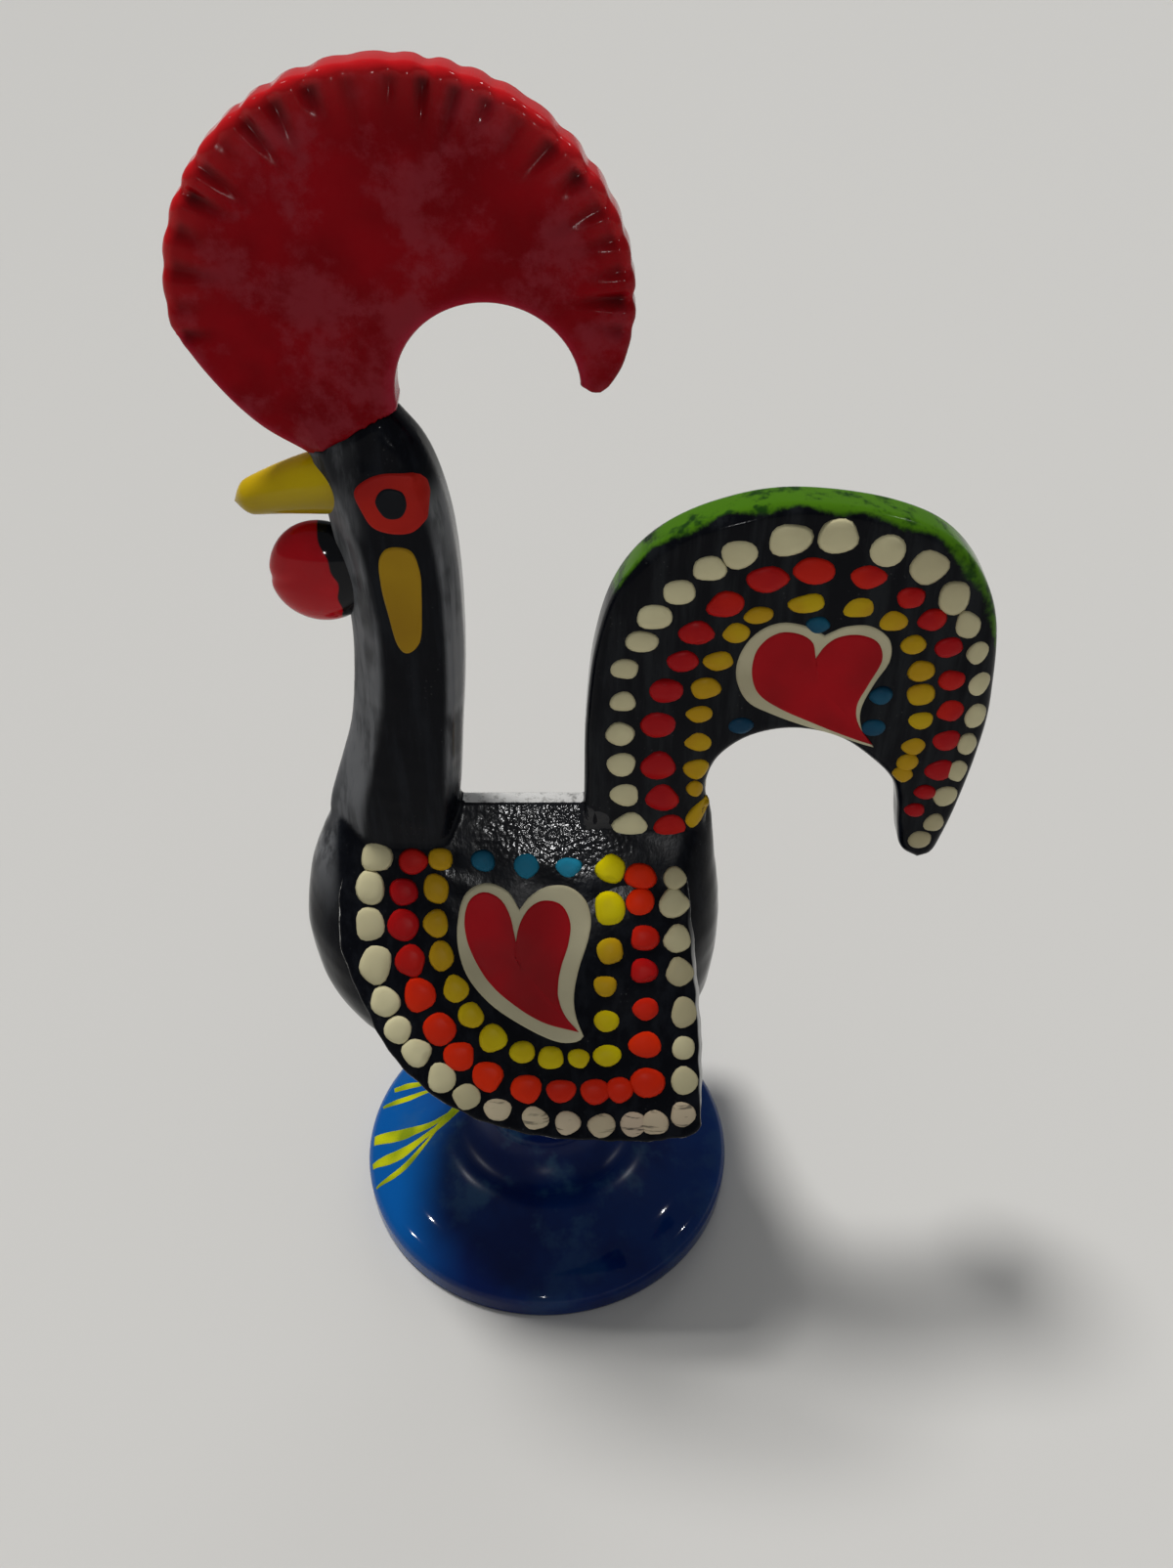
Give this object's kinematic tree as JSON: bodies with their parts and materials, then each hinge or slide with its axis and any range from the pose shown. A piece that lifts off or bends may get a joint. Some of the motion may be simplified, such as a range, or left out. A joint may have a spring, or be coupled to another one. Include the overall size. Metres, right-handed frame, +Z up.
{
  "type": "folk rooster ornament",
  "caption": "Standing folk rooster ornament: fan comb with a hook, slim neck, roof-shaped back, heart-painted wings and arched tail, on a round dished foot.",
  "frame": {"origin": "middle of the foot's flat underside", "axes": "+Z up, the bird looks along -X, its left side is at -Y"},
  "size_m": [0.0807, 0.0516, 0.1496],
  "materials": {
    "body": "gloss black enamel, brushed by hand",
    "comb": "gloss deep red enamel",
    "beak": "gloss yellow enamel",
    "wattle": "gloss deep red enamel",
    "wing": "gloss black enamel with raised dots and a heart",
    "tail": "gloss black enamel with raised dots, a heart and a green rim",
    "foot": "gloss blue enamel with yellow-green leaf strokes",
    "fastener": "plain steel"
  },
  "bodies": {
    "root": {"body": "body", "comb": "comb", "beak": "beak", "wattle": "wattle", "wing_left": "wing", "wing_right": "wing", "tail": "tail", "foot": "foot", "screw": "fastener", "washer": "fastener"}
  },
  "joints": []
}
